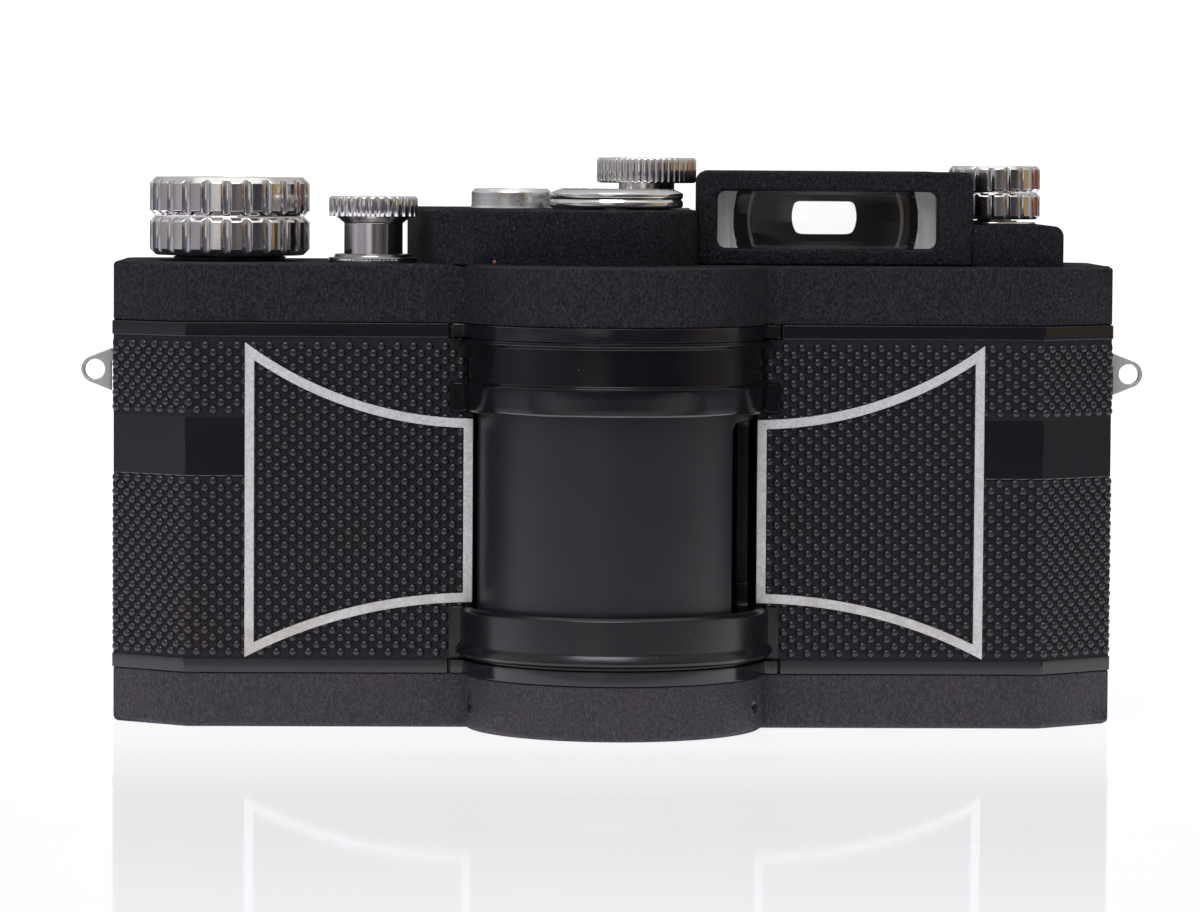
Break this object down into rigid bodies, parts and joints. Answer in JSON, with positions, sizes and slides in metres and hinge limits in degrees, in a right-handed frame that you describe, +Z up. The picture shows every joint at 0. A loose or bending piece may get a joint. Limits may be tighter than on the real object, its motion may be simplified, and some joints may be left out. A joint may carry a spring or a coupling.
{
  "type": "panoramic camera",
  "caption": "Swing-lens 35 mm panoramic film camera: a lens drum turns between two covers and sweeps a slit over film held in an arc; knobs, finder and level on top.",
  "frame": {"origin": "mouth of the tripod socket, under the drum axis on the base plane", "axes": "+X to the right as seen from the front, -Y towards the subject, +Z up along the drum axis"},
  "size_m": [0.1548, 0.056, 0.0822],
  "materials": {
    "crackle_black": "black enamel with a fine wrinkled grain",
    "satin_black": "smooth satin black enamel",
    "matt_black": "flat black inside the light path",
    "leatherette": "black pebbled leatherette with a half-gloss",
    "chrome": "polished nickel-chrome plate, a little worn",
    "bright_trim": "bright strip with slight tarnish",
    "steel": "turned steel",
    "brass": "turned brass",
    "bronze": "oiled bronze",
    "black_plastic": "moulded black plastic",
    "optical_glass": "polished clear glass",
    "level_liquid": "yellow-green liquid under a domed glass"
  },
  "bodies": {
    "camera": {"body_casting": "matt_black", "film_track": "matt_black", "base_cover": "crackle_black", "top_cover": "crackle_black", "upper_surround": "satin_black", "lower_surround": "satin_black", "left_covering": "leatherette", "right_covering": "leatherette", "side_bands": "satin_black", "left_trim": "bright_trim", "right_trim": "bright_trim", "dial_platform": "crackle_black", "finder_housing": "crackle_black", "finder_front_lens": "optical_glass", "finder_mask": "matt_black", "eyepiece_lens": "optical_glass", "eyepiece_frame": "satin_black", "level_cup": "steel", "level_vial": "level_liquid", "strap_lug_left": "chrome", "strap_lug_right": "chrome", "tripod_bush": "brass", "base_screws": "steel", "drum_bearings": "bronze", "gear_bridge": "brass", "wind_bush": "chrome", "rewind_bush": "chrome", "release_base": "chrome", "release_spring": "steel", "hinge_knuckles": "satin_black", "hinge_pin": "steel"},
    "drum": {"drum_shell": "satin_black", "drum_caps": "satin_black", "lens_board": "matt_black", "lens_barrel": "satin_black", "front_lens": "optical_glass", "rear_lens": "optical_glass", "slit_snout": "matt_black", "drum_gear": "brass"},
    "governor": {"governor": "brass"},
    "winder": {"wind_knob": "chrome", "counter_dial": "steel", "wind_shaft": "steel", "wind_gear": "brass", "takeup_spool": "black_plastic"},
    "sprocket": {"film_sprocket": "steel", "sprocket_gear": "brass"},
    "rewind_lifter": {"rewind_sleeve": "brass"},
    "rewinder": {"rewind_knob": "chrome", "rewind_shaft": "steel"},
    "collar": {"release_collar": "chrome"},
    "button": {"release_button": "chrome"},
    "aperture": {"aperture_disc": "chrome"},
    "speed": {"speed_knob": "chrome"},
    "roller_left": {"guide_roller_left": "steel"},
    "roller_right": {"guide_roller_right": "steel"},
    "door": {"back_door": "satin_black", "back_covering": "leatherette", "pressure_plate": "steel"},
    "latch": {"door_latch": "satin_black"}
  },
  "joints": [
    {"name": "drum_swing", "type": "hinge", "parent": "camera", "child": "drum", "pos_m": [0, 0, 0.032], "axis": [0, 0, 1], "range_deg": [-161, 0]},
    {"name": "governor_spin", "type": "hinge", "parent": "camera", "child": "governor", "pos_m": [0.01348, 0.01131, 0.06], "axis": [0, 0, 1], "range_deg": [0, 644]},
    {"name": "wind_turn", "type": "hinge", "parent": "camera", "child": "winder", "pos_m": [-0.0562, 0.015, 0.06], "axis": [0, 0, 1], "continuous": true},
    {"name": "sprocket_turn", "type": "hinge", "parent": "camera", "child": "sprocket", "pos_m": [-0.037, 0.017, 0.06], "axis": [0, 0, 1], "continuous": true},
    {"name": "rewind_lift", "type": "slide", "parent": "camera", "child": "rewind_lifter", "axis": [0, 0, 1], "range_m": [0, 0.007]},
    {"name": "rewind_turn", "type": "hinge", "parent": "rewind_lifter", "child": "rewinder", "pos_m": [0.0562, 0.015, 0.07], "axis": [0, 0, 1], "continuous": true},
    {"name": "collar_turn", "type": "hinge", "parent": "camera", "child": "collar", "pos_m": [-0.035, 0.006, 0.072], "axis": [0, 0, 1], "range_deg": [0, 60]},
    {"name": "button_press", "type": "slide", "parent": "camera", "child": "button", "axis": [0, 0, -1], "range_m": [0, 0.0025], "stiffness_N_per_m": 300, "springref_m": -0.002, "deforming": ["release_spring"]},
    {"name": "aperture_turn", "type": "hinge", "parent": "camera", "child": "aperture", "pos_m": [0, 0, 0.076], "axis": [0, 0, 1], "range_deg": [0, 120]},
    {"name": "speed_turn", "type": "hinge", "parent": "camera", "child": "speed", "pos_m": [0.0049, 0.0142, 0.08], "axis": [0, 0, 1], "range_deg": [0, 120]},
    {"name": "roller_left_turn", "type": "hinge", "parent": "camera", "child": "roller_left", "pos_m": [-0.0274, 0.01259, 0.032], "axis": [0, 0, 1], "continuous": true},
    {"name": "roller_right_turn", "type": "hinge", "parent": "camera", "child": "roller_right", "pos_m": [0.0274, 0.01259, 0.032], "axis": [0, 0, 1], "continuous": true},
    {"name": "door_swing", "type": "hinge", "parent": "camera", "child": "door", "pos_m": [-0.0696, 0.0312, 0.032], "axis": [0, 0, 1], "range_deg": [0, 110]},
    {"name": "latch_slide", "type": "slide", "parent": "camera", "child": "latch", "axis": [0, 0, 1], "range_m": [0, 0.0035]}
  ],
  "couplings": [
    {"joint": "governor_spin", "follows": "drum_swing", "ratio": -4},
    {"joint": "sprocket_turn", "follows": "wind_turn", "ratio": -1.2}
  ]
}
